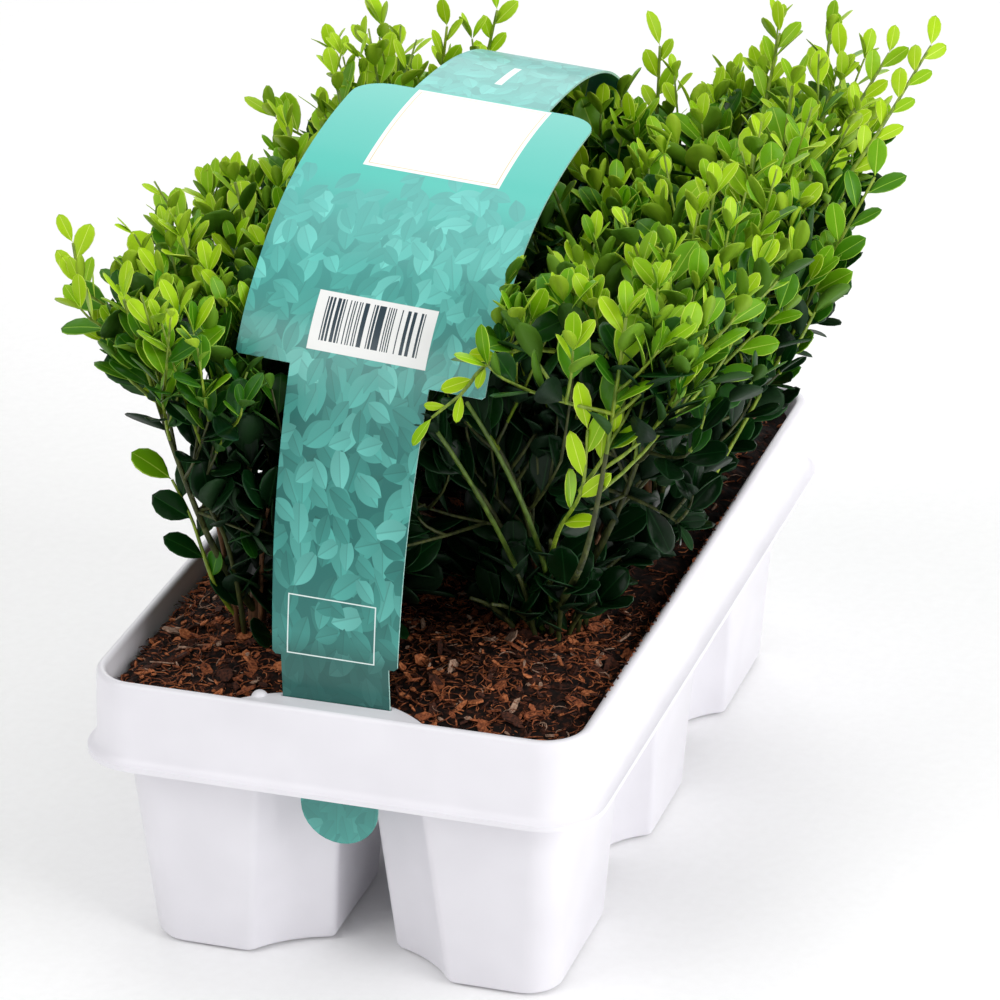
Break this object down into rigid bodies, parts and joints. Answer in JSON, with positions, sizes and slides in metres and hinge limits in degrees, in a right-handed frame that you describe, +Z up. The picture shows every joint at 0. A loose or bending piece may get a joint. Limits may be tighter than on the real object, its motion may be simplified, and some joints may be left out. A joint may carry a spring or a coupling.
{
  "type": "japanese holly shrub in nursery tray",
  "caption": "Young japanese holly shrubs growing as one low evergreen hedge in a white moulded nursery tray, with a teal label strap arched over the crown.",
  "frame": {"origin": "on the ground under the middle of the whole object's box; the tray's own middle is 15.5 mm towards -X and 0.6 mm towards +Y of it, because the crown leans further out on the right", "axes": "+Z up; +Y along the tray's long side, from the label strap's printed front leg to the back; +X to the right along the short front edge"},
  "size_m": [0.2558, 0.3108, 0.2636],
  "materials": {
    "tray_plastic": "white moulded polypropylene, satin",
    "strap_print": "printed teal polypropylene strip, semi-gloss",
    "compost": "moist bark and coir compost, rough",
    "bark": "young green to brown bark, satin",
    "foliage": "leathery evergreen leaves, semi-gloss"
  },
  "bodies": {
    "root": {"tray": "tray_plastic", "strap": "strap_print", "compost_1": "compost", "compost_2": "compost", "compost_3": "compost", "compost_4": "compost", "compost_5": "compost", "compost_6": "compost", "stem_1": "bark", "stem_2": "bark", "stem_3": "bark", "stem_4": "bark", "stem_5": "bark", "stem_6": "bark", "bough_1a": "bark", "bough_1b": "bark", "bough_2a": "bark", "bough_2b": "bark", "bough_3a": "bark", "bough_3b": "bark", "bough_4a": "bark", "bough_4b": "bark", "bough_5a": "bark", "bough_5b": "bark", "bough_6a": "bark", "bough_6b": "bark", "leaves_1a": "foliage", "leaves_1b": "foliage", "leaves_1c": "foliage", "leaves_2a": "foliage", "leaves_2b": "foliage", "leaves_2c": "foliage", "leaves_3a": "foliage", "leaves_3b": "foliage", "leaves_3c": "foliage", "leaves_4a": "foliage", "leaves_4b": "foliage", "leaves_4c": "foliage", "leaves_5a": "foliage", "leaves_5b": "foliage", "leaves_5c": "foliage", "leaves_6a": "foliage", "leaves_6b": "foliage", "leaves_6c": "foliage"}
  },
  "joints": []
}
